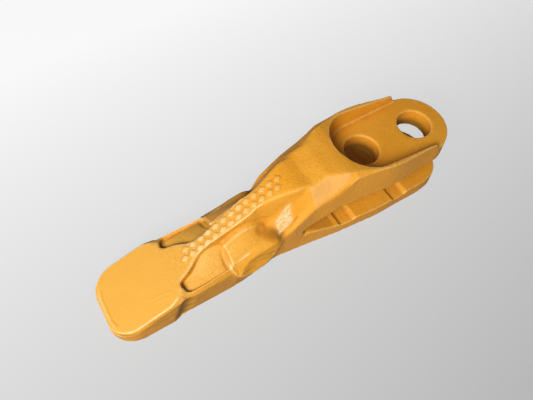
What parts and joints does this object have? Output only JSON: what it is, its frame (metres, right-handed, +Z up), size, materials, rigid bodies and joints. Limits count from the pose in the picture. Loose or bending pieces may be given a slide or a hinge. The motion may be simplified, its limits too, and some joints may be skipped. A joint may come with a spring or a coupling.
{
  "type": "bucket tooth",
  "caption": "Cast bolt-on digging tooth: flat chisel tip, ribbed spine with side pockets and two straps that clasp a bucket lip and take bolts through both.",
  "frame": {"origin": "on the rear bolt hole's axis, at the floor of the bolt channel on the upper strap", "axes": "+X along the tooth towards the straps' rear ends, the digging tip towards -X; +Z up along the bolt holes; the tooth is symmetric about Y = 0"},
  "size_m": [0.2692, 0.0562, 0.0711],
  "materials": {
    "paint": "semi-gloss paint over a sand-cast surface"
  },
  "bodies": {
    "root": {"tooth_casting": "paint"}
  },
  "joints": []
}
